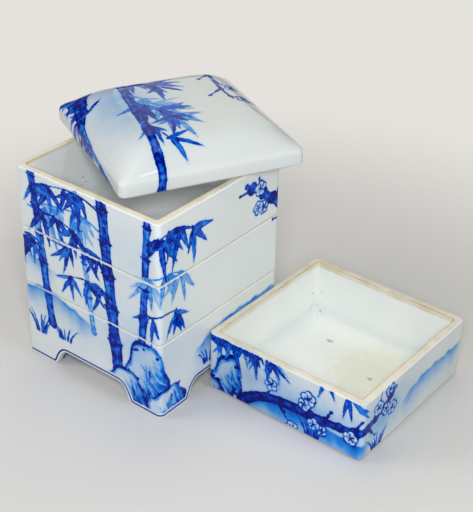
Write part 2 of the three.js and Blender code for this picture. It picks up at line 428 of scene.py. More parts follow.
# Bare fired clay on a wiped rim or foot: cream, flashed tan beside the glaze line, with worn stains.
CREAM_CLAY = linear(233, 227, 210)
STAINED_CLAY = linear(223, 212, 186)
FLASHED_CLAY = linear(176, 149, 102)
CLAY_ROUGHNESS = 0.62
WIPE_TEAR = 300
TEAR_SWING = 0.9
WIPE_BLUR = 0.25
STAIN_PATCH = 75
STAIN_EDGE = (0.42, 0.72)
FLASH_PATCH = 28
FLASH_EDGE = (0.3, 0.7)
FLASH_FAINTEST = 0.35
FLASH_WIDTH = (0.2, 1.3)
FLASH_STRENGTH = 0.8
bare, bare_in, bare_out = new_group(
    "bare_clay", {"Place": "vector", "Bare": "value", "Flash": "value"},
    {"Mask": "value", "Colour": "colour"})
wipe = calc("ADD", bare_in["Bare"], sway(cloud(bare_in["Place"], WIPE_TEAR), TEAR_SWING))
feed(bare_out["Mask"], ease(wipe, -WIPE_BLUR, WIPE_BLUR))
stain = ease(cloud(bare_in["Place"], STAIN_PATCH, detail=5.0), *STAIN_EDGE)
cream = blend_colour(stain, CREAM_CLAY, STAINED_CLAY)
patchy = ease(cloud(bare_in["Place"], FLASH_PATCH, detail=3.0), *FLASH_EDGE, FLASH_FAINTEST, 1.0)
flash_line = ease(calc("ABSOLUTE", bare_in["Flash"]), *FLASH_WIDTH, FLASH_STRENGTH, 0.0)
feed(bare_out["Colour"], blend_colour(calc("MULTIPLY", flash_line, patchy), cream, FLASHED_CLAY))

# Iron specks: a thin scatter of brown points burnt out of the clay, each in its own cell of a loose net,
# so many cells to the metre; crumbs of kiln dust lie in a finer net and are bigger for their cell.
IRON_BROWN = linear(132, 112, 88)
SPECK_NET = 160.0
SPECK_GRAIN = 1.0
CRUMB_NET = 250.0
CRUMB_GRAIN = 1.7
SMALLEST_POINT = 0.05
POINT_SPREAD = 0.07
specks, specks_in, specks_out = new_group(
    "iron_specks", {"Place": "vector", "Share": "value", "Net": "value", "Grain": "value"}, {"Mask": "value"})
net = place(specks, "ShaderNodeTexVoronoi", {"Vector": specks_in["Place"], "Scale": specks_in["Net"]})
lot = place(specks, "ShaderNodeSeparateColor", {"Color": net.outputs["Color"]})
chosen = calc("LESS_THAN", lot.outputs[0], specks_in["Share"])
drawn_size = calc("MULTIPLY_ADD", lot.outputs[1], POINT_SPREAD, SMALLEST_POINT)
point = calc("LESS_THAN", net.outputs["Distance"], calc("MULTIPLY", drawn_size, specks_in["Grain"]))
feed(specks_out["Mask"], calc("MULTIPLY", chosen, point))

# A stray smudge in the glaze: a soft patch round one place, torn at its edge.
SMUDGE_TEAR = 120
SMUDGE_EDGE = (0.2, 1.1)
smudge, smudge_in, smudge_out = new_group(
    "glaze_smudge", {"Place": "vector", "Centre": "vector", "Reach": "vector"}, {"Mask": "value"})
away = reckon("SUBTRACT", smudge_in["Place"], smudge_in["Centre"])[0]
spans = reckon("LENGTH", reckon("DIVIDE", away, smudge_in["Reach"])[0])["Value"]
torn = calc("ADD", spans, sway(cloud(smudge_in["Place"], SMUDGE_TEAR), TEAR_SWING))
feed(smudge_out["Mask"], ease(torn, *SMUDGE_EDGE, 1.0, 0.0))

BORDER_HALF_WIDTH = 0.72
BORDER_BLUR = 0.2


def attribute(tree, label):
    """A value that the mesh holds at each point."""
    return place(tree, "ShaderNodeAttribute", attribute_name=label).outputs["Fac"]


def painted_porcelain(name, thin, pooled, speck_share, mirror, ripple_height, smudges=(), crumbs=None):
    """Glazed porcelain over cobalt: white glaze, ink, iron specks and bare clay laid over each other as
    they are on the piece, with the glaze's ripple as a bump. Smudges are stray patches of colour, each a
    centre, a reach and a colour; crumbs is a centre and a reach where crumbs of dust lie."""
    material = bpy.data.materials.new(name)
    material.use_nodes = True
    tree = material.node_tree
    shader = tree.nodes["Principled BSDF"].inputs
    where = place(tree, "ShaderNodeTexCoord").outputs["Object"]
    depth = attribute(tree, "glaze_depth")
    skin = effect(glaze, {"Place": where, "Depth": depth, "Thin": thin, "Pooled": pooled})
    marks = {label: attribute(tree, label.lower().replace(" ", "_"))
             for label in ("Wash", "Body Edge", "Body Tone", "Dark Edge", "Dark Tone")}
    lay = effect(ink_lay, {"Place": where, **marks})
    border = calc("SUBTRACT", BORDER_HALF_WIDTH, calc("ABSOLUTE", attribute(tree, "border")))
    density = calc("MAXIMUM", lay["Density"], ease(border, -BORDER_BLUR, BORDER_BLUR))
    tint = effect(cobalt, {"Density": density, "White": skin["Colour"]})
    iron = effect(specks, {"Place": where, "Share": speck_share, "Net": SPECK_NET, "Grain": SPECK_GRAIN})
    dirt = iron["Mask"]
    if crumbs:
        crowd = effect(smudge, {"Place": where, "Centre": crumbs[0], "Reach": crumbs[1]})["Mask"]
        fine = effect(specks, {"Place": where, "Share": crowd, "Net": CRUMB_NET, "Grain": CRUMB_GRAIN})
        dirt = calc("MAXIMUM", dirt, fine["Mask"])
    coat = blend_colour(dirt, tint["Colour"], IRON_BROWN)
    for centre, reach, colour in smudges:
        patch = effect(smudge, {"Place": where, "Centre": centre, "Reach": reach})
        coat = blend_colour(patch["Mask"], coat, colour, "MULTIPLY")
    clay = effect(bare, {"Place": where, "Bare": attribute(tree, "bare"), "Flash": attribute(tree, "flash")})
    feed(shader["Base Color"], blend_colour(clay["Mask"], coat, clay["Colour"]))
    rough = place(tree, "ShaderNodeMix", {0: clay["Mask"], 2: skin["Gloss"], 3: CLAY_ROUGHNESS})
    feed(shader["Roughness"], rough.outputs[0])
    bump = place(tree, "ShaderNodeBump", {"Height": skin["Ripple"], "Distance": ripple_height * MM})
    feed(shader["Normal"], bump.outputs["Normal"])
    feed(shader["Specular IOR Level"], mirror)
    return material


# The painter's strokes: half widths along a leaf, a length of stem, its joint and a bough, from start to
# end, and the three stones of a rock, each a place and a size as shares of the whole.
LEAF_SWELL = np.array([0.3, 0.8, 1.0, 0.95, 0.75, 0.45, 0.12])
TWIG_SWELL = (0.9, 0.75, 0.6, 0.5)
CULM_SWELL = np.array([1.12, 0.95, 0.9, 0.9, 0.95, 1.1])
JOINT_SWELL = (0.7, 1.0, 0.6)
BOUGH_SWELL = np.array([1.0, 0.8, 0.95, 0.7, 0.75, 0.5, 0.4])
CRACK_SWELL = np.array([0.5, 1.7, 1.2, 0.3])
MOSS_SWELL = (0.8, 1.5, 0.8)
STAMEN_SWELL = (0.45, 0.4, 0.65)
BUD_SWELL = (1.1, 1.5, 1.0)
BLADE_SWELL = (1.0, 0.95, 0.65, 0.3)
STONES = (((0.0, 0.0), (0.62, 1.0)), ((-0.52, -0.4), (0.5, 0.62)), ((0.55, -0.5), (0.46, 0.55)))
STONE_CRACKS = 16
STONE_MOSS = 4


def leaf(panel, layer, stem, heading, length, width, tone, wave):
    """A bamboo leaf in one press of the brush: quick swell, full belly, long point, a little bent."""
    ahead = np.array([np.cos(heading), np.sin(heading)])
    beside = np.array([-ahead[1], ahead[0]])
    stem = np.array(stem)
    points = [stem, stem + length * (0.45 * ahead + 0.06 * np.sin(wave) * beside), stem + length * ahead]
    brush(panel, layer, points, width / 2 * LEAF_SWELL, tone, fade=0.42, streak=0.32, rim_tone=0.2, wave=wave)


def leaf_spray(panel, layer, stem, heading, count, spread, size, tone, draw):
    """Leaves that hang from one twig in a fan, the middle ones longest."""
    for share in draw.permutation(np.linspace(-0.5, 0.5, count)):
        swung = heading + spread * share + draw.normal(0, 0.12)
        length = size * (1.05 - 0.9 * share ** 2) * draw.uniform(0.75, 1.15)
        start = np.array(stem) + draw.normal(0, 1.0, 2)
        shade = np.clip(tone * draw.uniform(0.55, 1.15), 0, 1)
        leaf(panel, layer, start, swung, length, draw.uniform(0.14, 0.21) * size, shade, draw.uniform(0, 6))


def leafy_twig(panel, layer, points, knots, size, tone, seed, fall=-90.0):
    """A thin twig with a spray of leaves hanging at each of its knots."""
    draw = np.random.default_rng(seed)
    path = stroke_path(points, 41)
    brush(panel, layer, points, TWIG_SWELL, 0.9 * tone)
    for stage, lean in zip(np.linspace(0.3, 1.0, knots), np.tile([-24, 24], knots)):
        stem = path[int(stage * 40)]
        heading = np.radians(fall + lean + draw.normal(0, 12))
        count = draw.integers(3, 6)
        leaf_spray(panel, layer, stem, heading, count, 1.7, size * draw.uniform(0.75, 1.15), tone, draw)


def culm(panel, foot, top, joints, width, tone, seed):
    """A bamboo stem: one stroke for each length between joints, dark at both rims where the ink pools,
    and a short dark hook across each joint."""
    draw = np.random.default_rng(seed)
    foot = np.array(foot)
    top = np.array(top)
    stages = np.linspace(0, 1, joints + 1) ** 0.92
    for start, end in zip(stages[:-1], stages[1:]):
        low = foot + (top - foot) * (start + 0.006)
        high = foot + (top - foot) * (end - 0.006)
        slim = width / 2 * (1 - 0.25 * start)
        brush(panel, "body", [low, (low + high) / 2 + draw.normal(0, 0.4, 2), high], slim * CULM_SWELL,
              tone * draw.uniform(0.8, 1.15), fade=0.2, streak=0.4, rim_tone=0.6, wave=draw.uniform(0, 6))
        hook = np.array([slim * 1.25, 0.9])
        brush(panel, "dark", [high + hook * (-1, 1.2), high + (0, -0.6), high + hook * (1, 1.2)],
              JOINT_SWELL, min(1.0, 1.6 * tone), streak=0.1)


def boulder(panel, centre, reach, tone, draw):
    """One stone of a rock: an uneven round outline drawn in a line that swells and breaks, hiding what is
    behind it, shaded in slanting dry streaks that darken away from the light."""
    along, up = seen_from(panel, centre)
    bearing = np.arctan2(up / reach[1], along / reach[0])
    wave = draw.uniform(0, 6)
    lumps = (1 + 0.10 * np.sin(2 * bearing + wave) + 0.08 * np.sin(3 * bearing + 2 * wave)
             + 0.05 * np.sin(7 * bearing))
    inside = (lumps - np.hypot(along / reach[0], up / reach[1])) * min(reach)
    slant = along + 0.7 * up + 2.5 * np.sin(up / 5 + wave)
    streaks = 1 + 0.6 * np.sin(slant / 1.1) * np.sin(slant / 3.7 + wave) + 0.3 * np.sin(slant / 0.6)
    shade = np.clip(0.30 - 0.45 * up / reach[1] + 0.45 * along / reach[0], 0.03, 1) * streaks
    pooled = np.clip(1.3 - inside / 3.0, 0, 1)
    stone_tone = np.clip(tone * (shade + 0.4 * pooled), 0.02, 1)
    panel["body_tone"][:] = np.where(inside > 0, stone_tone, panel["body_tone"])
    panel["body_edge"][:] = np.maximum(panel["body_edge"], inside)
    line = 0.25 + 1.1 * np.sin(1.5 * bearing + wave) ** 2 - np.abs(inside)
    behind = np.where(inside > 0, np.minimum(panel["dark_edge"], -inside), panel["dark_edge"])
    panel["dark_tone"][:] = np.where(line > behind, 0.9, panel["dark_tone"])
    panel["dark_edge"][:] = np.maximum(behind, line)


def rock(panel, centre, reach, tone, seed):
    """A garden rock of three stones, the tall one behind, with short dark strokes down its faces and dabs
    of moss along its top."""
    draw = np.random.default_rng(seed)
    for shift, size in STONES:
        stone = np.array(centre) + np.array(reach) * shift
        spread = np.array(reach) * size
        boulder(panel, stone, spread, tone, draw)
        for lean in draw.uniform(-0.6, 0.85, STONE_CRACKS):
            top = stone + spread * (lean, draw.uniform(-0.55, 0.65) * np.sqrt(1 - lean ** 2))
            bottom = top + spread * (draw.uniform(-0.05, 0.2), -draw.uniform(0.15, 0.42))
            heavy = draw.uniform(0.35, 1.0) * (0.7 + 0.3 * lean)
            brush(panel, "dark", [top, (top + bottom) / 2 + (1.2, 0), bottom], heavy * CRACK_SWELL, heavy,
                  fade=0.5, streak=0.6, wave=draw.uniform(0, 6))
        for lean in draw.uniform(-0.6, 0.6, STONE_MOSS):
            dab = stone + spread * (lean, 0.98 * np.sqrt(1 - lean ** 2))
            dab_end = dab + (draw.uniform(1, 3), 0.5)
            brush(panel, "dark", [dab, dab_end], MOSS_SWELL, draw.uniform(0.7, 1.0))


def blossom(panel, centre, size, spin):
    """A plum blossom: five round petals kept white inside a blue outline, with a spray of stamens."""
    along, up = seen_from(panel, centre)
    bearing = spin + np.arange(5) * 2 * np.pi / 5
    petal = 0.46 * size
    ring = 0.54 * size
    gap = np.min([np.hypot(along - ring * np.cos(b), up - ring * np.sin(b)) - petal for b in bearing], axis=0)
    for layer in ("body_edge", "dark_edge"):
        panel[layer][:] = np.minimum(panel[layer], gap + 0.2)
    line = 0.62 - np.abs(gap)
    over = line > panel["dark_edge"]
    panel["dark_tone"][:] = np.where(over, 0.62, panel["dark_tone"])
    panel["dark_edge"][:] = np.maximum(panel["dark_edge"], line)
    blush = 0.22 * np.exp(-(along ** 2 + up ** 2) / (0.3 * size ** 2))
    panel["wash"][:] = np.where(gap < 0, blush, panel["wash"])
    for b in bearing + 0.3:
        out = np.array([np.cos(b), np.sin(b)])
        brush(panel, "dark", [centre + 0.12 * size * out, centre + 0.5 * size * out], STAMEN_SWELL, 0.85)


def plum_bough(panel, points, width, twigs, flowers, size, seed):
    """A plum bough in dry dark ink: one long uneven stroke with knots, straight young twigs that spring
    from it, and blossoms and buds along them."""
    draw = np.random.default_rng(seed)
    path = stroke_path(points, 61)
    brush(panel, "dark", points, width / 2 * BOUGH_SWELL, 0.9, fade=0.3, streak=0.5, rim_tone=0.2,
          wave=draw.uniform(0, 6))
    perches = []
    for stage, way in zip(np.linspace(0.15, 0.98, twigs), np.tile([1, -1], twigs)):
        knot = int(stage * 59)
        root = path[knot]
        ahead = path[knot + 1] - root
        heading = np.arctan2(ahead[1], ahead[0]) + way * draw.uniform(0.5, 1.1)
        reach = draw.uniform(0.6, 1.2) * 3.2 * size
        tip = root + reach * np.array([np.cos(heading), np.sin(heading)])
        brush(panel, "dark", [root, (root + tip) / 2 + draw.normal(0, 1, 2), tip], (0.28 * width, 0.9, 0.55),
              0.85, fade=0.25, streak=0.25)
        brush(panel, "dark", [root, root + (0.6, 0.6)], (0.42 * width, 0.42 * width), 0.95)
        perches += [root + (tip - root) * draw.uniform(0.35, 0.6), tip]
    order = draw.permutation(len(perches))
    for k in order[flowers:]:
        brush(panel, "dark", [perches[k], perches[k] + (0.5, 0.8)], BUD_SWELL, 0.8)
    for k in order[:flowers]:
        heart = perches[k] + draw.normal(0, 1.5, 2)
        blossom(panel, heart, size * draw.uniform(0.85, 1.1), draw.uniform(0, 6))


def grass(panel, foot, height, count, seed):
    """A tuft of grass: thin blades flicked up and outwards from one root."""
    draw = np.random.default_rng(seed)
    for lean in np.linspace(-0.9, 0.9, count) + draw.normal(0, 0.1, count):
        root = np.array(foot) + (6 * lean, 0)
        tall = height * draw.uniform(0.6, 1.0)
        points = [root, root + (0.15 * lean * tall, 0.6 * tall), root + (0.7 * lean * tall, tall)]
        brush(panel, "dark", points, BLADE_SWELL, draw.uniform(0.5, 0.95), fade=0.35, streak=0.2)


def haze(panel, centre, reach, depth):
    """A patch of watery blue that fades out on all sides as a bell curve."""
    along, up = seen_from(panel, centre)
    panel["wash"] += depth * np.exp(-(along / reach[0]) ** 2 - (up / reach[1]) ** 2)


def hill(panel, crest, depth, fall):
    """A far hill in wash: crisp along its crest and fading out below it and towards both ends."""
    crest = np.array(crest, dtype=float)
    middle = np.array([crest[:, 0].mean(), 0])
    along, up = seen_from(panel, middle)
    line = stroke_path(crest - middle, 60)
    crest_height = np.interp(along, line[:, 0], line[:, 1])
    below = crest_height + 0.7 * np.sin(along / 3.1) + 0.5 * np.sin(along / 1.7) - up
    ends = np.clip(np.minimum(along - line[0, 0], line[-1, 0] - along) / 14, 0, 1)
    panel["wash"] += depth * ends * np.where(below > 0, np.exp(-below / fall), np.exp(below / 0.8))


def paint_stack(panel):
    """The garden painted round the stack, running on from tray to tray: bamboo over a rock at the near
    corner, far hills and grass to its left, and a plum that stands at the back and leans round the side.
    Places are in millimetres along the wall and up from the table."""
    for crest, depth, fall in (
        ([(-82, 60), (-55, 84), (-30, 66), (4, 58)], 0.36, 9),
        ([(-120, 96), (-84, 108), (-54, 98), (-34, 92)], 0.22, 9),
        ([(112, 40), (150, 66), (186, 52), (226, 58)], 0.32, 10),
        ([(330, 50), (376, 84), (420, 60), (470, 66)], 0.30, 10),
    ):
        hill(panel, crest, depth, fall)
    haze(panel, (44, 60), (42, 34), depth=0.07)
    haze(panel, (40, 140), (48, 30), depth=0.03)
    for foot, top, joints, width, tone, seed in (
        ((4, 52), (-12, 200), 5, 5.5, 0.26, 2),
        ((-44, 40), (-60, 200), 6, 9.0, 0.70, 8),
        ((30, 20), (16, 200), 6, 13.0, 0.80, 3),
        ((54, 26), (66, 200), 6, 8.5, 0.62, 4),
    ):
        culm(panel, foot, top, joints, width, tone, seed)
    leafy_twig(panel, "body", [(16, 150), (-10, 166), (-44, 150)], knots=4, size=30, tone=0.34, seed=6)
    leafy_twig(panel, "body", [(58, 120), (70, 140), (98, 128)], knots=3, size=28, tone=0.34, seed=7)
    rock(panel, (60, 26), (42, 36), tone=0.95, seed=5)
    for points, knots, size, tone, seed in (
        ([(19, 166), (-8, 182), (-34, 174), (-58, 166)], 4, 31, 1.0, 11),
        ([(23, 120), (6, 136), (-18, 124)], 3, 30, 1.0, 12),
        ([(-56, 140), (-40, 152), (-14, 140)], 3, 31, 1.0, 15),
        ([(-52, 110), (-64, 122), (-80, 112)], 3, 29, 0.95, 16),
        ([(26, 92), (8, 106), (-20, 96)], 3, 30, 0.95, 17),
        ([(63, 158), (80, 176), (112, 160)], 4, 29, 1.0, 13),
        ([(58, 88), (70, 102), (92, 96)], 2, 25, 0.9, 14),
    ):
        leafy_twig(panel, "dark", points, knots, size, tone, seed)
    for foot, height, count, seed in (((-58, 26), 20, 8, 21), ((-30, 30), 15, 7, 22), ((132, 26), 17, 7, 23)):
        grass(panel, foot, height, count, seed)
    plum_bough(panel, [(300, 14), (262, 70), (250, 130), (214, 142), (178, 168)], width=13, twigs=9,
               flowers=9, size=7.0, seed=24)
    rock(panel, (322, 20), (36, 28), tone=0.9, seed=25)
    culm(panel, (452, 26), (440, 200), joints=6, width=9.0, tone=0.65, seed=26)
    leafy_twig(panel, "dark", [(441, 160), (420, 178), (396, 166)], knots=3, size=28, tone=0.85, seed=27)
    leafy_twig(panel, "dark", [(446, 118), (466, 134), (486, 122)], knots=3, size=26, tone=0.8, seed=28)
    grass(panel, (410, 28), height=17, count=7, seed=29)


base_low, base_high = box_mm("base_tier")
base_centre = (base_low + base_high) / 2
HALF = (base_high[0] - base_low[0]) / 2
base_rim = base_high[2]
under_floor = ARCH_HEIGHT + ARCH_LIP
base_floor = under_floor + FLOOR
skirt = HALF - FOOT_WALL
tray_stations = square_stations(FACE_POINTS, CORNER_POINTS)
arch_points = [(ARCH_FOOT, 0), ARCH_TOE, (ARCH_SHOULDER, ARCH_HEIGHT), (ARCH_CROWN, ARCH_HEIGHT)]
ogee = stroke_path(arch_points, ARCH_STEPS)


def base_rows():
    """Half-widths and heights of the base's rings: under the floor, down inside the skirt, out under its
    edge, up the wall and over the rim into the tray. Under the arch the skirt's rings follow its S-curve,
    read off at each ring's own place across the face, and the wall's rings even out towards the rim."""
    run, turn, _ = tray_stations
    level = np.concatenate([
        straight((POLE_RING, under_floor), (skirt, under_floor), 5),
        arc((skirt - SOFT_EDGE, under_floor - SOFT_EDGE), SOFT_EDGE, 90, 0, 3),
    ])
    sole = np.concatenate([
        arc((skirt + SOFT_EDGE, SOFT_EDGE), SOFT_EDGE, 180, 270, 3),
        straight((skirt + SOFT_EDGE, 0), (HALF - FOOT_EDGE_ROUND, 0), 4),
        arc((HALF - FOOT_EDGE_ROUND, FOOT_EDGE_ROUND), FOOT_EDGE_ROUND, -90, 0, EDGE_ROWS),
    ])
    sole_radius = corner_radius(sole[:, :1], HALF)
    across = np.abs(run * (sole[:, :1] - sole_radius) + sole_radius * np.sin(turn))
    sole_height = sole[:, 1:] + np.interp(across, ogee[::-1, 0], ogee[::-1, 1])
    share = np.linspace(0, 1, WALL_ROWS + 2)[1:-1, None]
    wall_height = sole_height[-1] * (1 - share) + (base_rim - RIM_ROUND) * share
    tray = tray_inside(HALF, base_rim, base_floor)
    half = np.concatenate([level[:, 0], sole[:, 0], np.full(WALL_ROWS, HALF), tray[:, 0]])[:, None]
    height = np.concatenate([level[:, 1:] + 0 * run, sole_height, wall_height, tray[:, 1:] + 0 * run])
    return half, height, len(level), len(level) + len(sole) + WALL_ROWS


# How a tray's rim is finished: how far the wiping cloth went past its outer edge, how deep the inner lip
# is bare, how wide the darker tan line along the brink is, and whether another tray stands on it and leaves a
# line.
STACKED_RIM = {"wiped": 0.1, "lip_depth": 4.3, "brink_width": 0.7, "carries": True}
FLASH_DEPTH = 2.3
SEAM_LINE = 0.8
SEAM_FAINT = 0.5
# The inside of a tray gets thinner, whiter glaze than the outside: painted light that brightens its shaded
# inside.
INSIDE_PAINTED_LIGHT_DEPTH = 0.1
OUTSIDE_DEPTH = 0.5
POOL_REACH = 7.0
POOL_MORE = 0.5
UPRIGHT_REACH = 2.2
UPRIGHT_THIN_AND_HIGHLIGHT = 0.35
ROLL_REACH = 1.6
ROLL_MORE = 0.25


def tray_finish(stations, half, height, outer, rim, floor, inside_row, wiped, lip_depth, brink_width, carries):
    """Where the clay is bare, where it is flashed, and how deep the glaze lies: bare on the flat of the
    rim, as far out as it was wiped, and down its inner lip; flashed in a line along that lip, with a
    darker tan line along the brink above it, and near the outer edge of a rim that carries another tray;
    thin over the upright corners, partly as a painted highlight down them, and thin over the whole inside
    as painted light that brightens the shaded inside; thick at the floor and in the roll along the outside
    of the rim."""
    inner = outer - WALL
    over_edge = np.where(half > outer - RIM_ROUND, height - rim + outer - half + wiped, FAR)
    on_rim = np.minimum(over_edge, height - rim + lip_depth)
    inside = np.arange(len(half))[:, None] >= inside_row
    brink = inner + RIM_INNER_ROUND / 2
    lip_line = np.where(half < brink, height - rim + FLASH_DEPTH, FAR)
    # A darker tan line along the inner edge of the rim, in the flashed clay's colour.
    brink_line = np.where(height > rim - RIM_INNER_ROUND, (half - brink) / brink_width, FAR)
    flash = np.where(inside, np.minimum(np.abs(lip_line), np.abs(brink_line)), FAR)
    if carries:
        seam = np.abs(outer - SEAM_LINE - half) + SEAM_FAINT
        flash = np.where(inside & (half > outer - 2 * SEAM_LINE), seam, flash)
    pool = np.where(inside, np.exp(-np.hypot(half - inner, height - floor) / POOL_REACH), 0)
    turn = stations[1]
    # The outer upright corners get thinner, whiter glaze: partly the glaze running thin, partly a painted
    # highlight down each corner.
    upright_edge = CORNER_RADIUS * np.abs(turn - np.pi / 4) + FAR * (turn == 0) + FAR * inside
    upright = np.exp(-upright_edge / UPRIGHT_REACH)
    roll = np.exp(-np.hypot(half - outer, height - rim) / ROLL_REACH)
    # The whiter glaze inside is painted light; the upright corner term is partly a painted highlight.
    depth = (np.where(inside, INSIDE_PAINTED_LIGHT_DEPTH, OUTSIDE_DEPTH) + POOL_MORE * pool - UPRIGHT_THIN_AND_HIGHLIGHT * upright
             + ROLL_MORE * roll)
    return {"bare": on_rim, "flash": flash, "glaze_depth": depth}


BORDER_SET_IN = 2.7
BORDER_ZONE = 12.0
NO_BORDER = 20.0
PAINT_MARGIN = 5.4
EDGE_MARGIN = 1.0
SOLE_WIPE = 0.7
SOLE_EDGE = 0.3
BASE_WAVE = 0.7
STACK_GLAZE = {"thin": linear(247, 249, 248), "pooled": linear(207, 220, 217), "speck_share": 0.08,
               "mirror": 0.1, "ripple_height": 0.10}


def border_gap(across, height):
    """Distance from the lower edge of a face, feet and arch, to each point: the shortest to any piece of
    the edge's outline."""
    outline = np.concatenate([[(-HALF - FAR, 0)], ogee * (-1, 1), ogee[::-1], [(HALF + FAR, 0)]])
    step = np.diff(outline, axis=0)
    spot = np.stack([across, height], axis=-1)[..., None, :]
    share = np.clip(((spot - outline[:-1]) * step).sum(axis=-1) / (step ** 2).sum(axis=1), 0, 1)
    return np.linalg.norm(spot - outline[:-1] - share[..., None] * step, axis=-1).min(axis=-1)


half, height, sole_row, inside_row = base_rows()
half, height = hand_made(tray_stations, half, height, base_rim, ARCH_HEIGHT, BASE_WAVE)
x, y = square_rings(tray_stations, half, corner_radius(half, HALF))
along, loop = loop_place(tray_stations, HALF)
across = np.broadcast_to(along - tray_stations[2] * loop / 4, height.shape)
row = np.arange(len(half))[:, None]
on_wall = (row >= sole_row) & (row < inside_row + EDGE_ROWS)
low_wall = on_wall & (height < ARCH_HEIGHT + BORDER_ZONE)
edge_gap = np.full(height.shape, NO_BORDER)
edge_gap[low_wall] = border_gap(across[low_wall], height[low_wall])
base_panel = blank_panel(along, height, loop)
paint_stack(base_panel)
room = np.minimum(edge_gap - PAINT_MARGIN, base_rim - EDGE_MARGIN - height)
fields = tray_finish(tray_stations, half, height, HALF, base_rim, base_floor, inside_row, **STACKED_RIM)
on_sole = on_wall & (half < HALF - SOLE_EDGE) & (row < inside_row)
fields["bare"] = np.where(on_sole, SOLE_WIPE - height, fields["bare"])
fields["border"] = edge_gap - BORDER_SET_IN
fields.update(ink_fields(base_panel, on_wall, room))
base_tray = porcelain_piece("base_tray", base_centre, x, y, height, (under_floor, base_floor), fields)
stack_porcelain = painted_porcelain("stack_porcelain", **STACK_GLAZE)
base_tray.data.materials.append(stack_porcelain)
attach(base_tray, "base_tier")
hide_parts("base_tier")

# Middle, upper and loose tiers: three like trays with a shallow foot ring that drops inside the rim below.
# Each is cast, painted round its wall and glazed; rim and foot ring are wiped bare so they don't stick.
FOOT_RING_DEPTH = 2.0
FOOT_RING_WIDTH = 7.0
NEST_CLEARANCE = 0.8
LOWER_EDGE_ROUND = 1.2
SEAT_WIDTH = 6.0
SEAT_WIPE = 0.3
SEAT_FLASH = 2.6
RING_WIPE = 0.6
GLAZED = -3.0
CHIP_WIDTH = 2.4
CHIP_REACH = 1.6
CHIP_FALL = 3.0
CHIP_DEPTH = 1.2
CHIP_GLAZE = 4.0


def tier_rows(outer, bottom, rim):
    """Profile of a stacking tray from the middle of its underside: foot ring, lower edge, wall, rim and
    inside, with the rows where the lower edge and the rim start."""
    edge = bottom + FOOT_RING_DEPTH
    ring = outer - WALL - NEST_CLEARANCE
    ring_in = ring - FOOT_RING_WIDTH
    below = np.concatenate([
        straight((POLE_RING, edge), (ring_in - SOFT_EDGE, edge), 4),
        arc((ring_in - SOFT_EDGE, edge - SOFT_EDGE), SOFT_EDGE, 90, 0, 3),
        arc((ring_in + SOFT_EDGE, bottom + SOFT_EDGE), SOFT_EDGE, 180, 270, 3),
        arc((ring - SOFT_EDGE, bottom + SOFT_EDGE), SOFT_EDGE, -90, 0, 3),
        arc((ring + SOFT_EDGE, edge - SOFT_EDGE), SOFT_EDGE, 180, 90, 3),
        straight((ring + SOFT_EDGE, edge), (outer - LOWER_EDGE_ROUND, edge), 2),
    ])
    wall = np.concatenate([
        arc((outer - LOWER_EDGE_ROUND, edge + LOWER_EDGE_ROUND), LOWER_EDGE_ROUND, -90, 0, EDGE_ROWS),
        straight((outer, edge + LOWER_EDGE_ROUND), (outer, rim - RIM_ROUND), WALL_ROWS),
    ])
    inside = tray_inside(outer, rim, edge + FLOOR)
    return np.concatenate([below, wall, inside]), len(below), len(below) + len(wall)


def stacking_tray(name, node, material, paint, rim_finish, wave, chip_at=None):
    """One stacking tray at its place in the frame, painted by the function that is given. A chip is a
    small bell-shaped dent in the inner edge of the rim, white where the glaze broke off."""
    low, high = box_mm(node)
    outer = (high[0] - low[0]) / 2
    edge = low[2] + FOOT_RING_DEPTH
    rim = high[2]
    rows, wall_row, inside_row = tier_rows(outer, low[2], rim)
    half, height = hand_made(tray_stations, rows[:, :1], rows[:, 1:], rim, edge, wave)
    along, loop = loop_place(tray_stations, outer)
    x, y = square_rings(tray_stations, half, corner_radius(half, outer))
    fields = tray_finish(tray_stations, half, height, outer, rim, edge + FLOOR, inside_row, **rim_finish)
    row = np.arange(len(rows))[:, None]
    if chip_at is not None:
        near_lip = np.exp(-((half - outer + WALL) / CHIP_REACH) ** 2)
        near_rim = np.clip((height - rim + CHIP_FALL) / CHIP_FALL, 0, 1)
        dent = np.exp(-((along - chip_at) / CHIP_WIDTH) ** 2) * (near_lip * near_rim) * (row >= inside_row)
        height = height - CHIP_DEPTH * dent
        fields["bare"] = fields["bare"] - CHIP_GLAZE * dent
    panel = blank_panel(along, height, loop)
    paint(panel)
    painted = (row >= wall_row) & (row < inside_row + EDGE_ROWS)
    fields.update(ink_fields(panel, painted, np.minimum(rim - height, height - edge) - EDGE_MARGIN))
    under = row < wall_row + EDGE_ROWS
    seat = np.minimum(edge + SEAT_WIPE - height, outer - LOWER_EDGE_ROUND - half)
    sole = np.maximum(low[2] + RING_WIPE - height, np.where(half > outer - SEAT_WIDTH, seat, GLAZED))
    fields["bare"] = np.where(under, sole, fields["bare"])
    fields["flash"] = np.where(under, half - outer + SEAT_FLASH, fields["flash"])
    fields["border"] = FAR
    poles = (rows[0, 1], rows[-1, 1])
    tray = porcelain_piece(name, (low + high) / 2, x, y, height, poles, fields)
    tray.data.materials.append(material)
    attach(tray, node)
    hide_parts(node)


def in_tray(node, x, y, up=0.0):
    """A place in a tray, in millimetres from the middle of its floor, as the frame's metres."""
    low, high = box_mm(node)
    middle = (low + high) / 2
    return ((middle[0] + x) * MM, (middle[1] + y) * MM, (low[2] + FOOT_RING_DEPTH + FLOOR + up) * MM)


def metres(*sizes):
    """Sizes in millimetres as the frame's metres."""
    return tuple(size * MM for size in sizes)


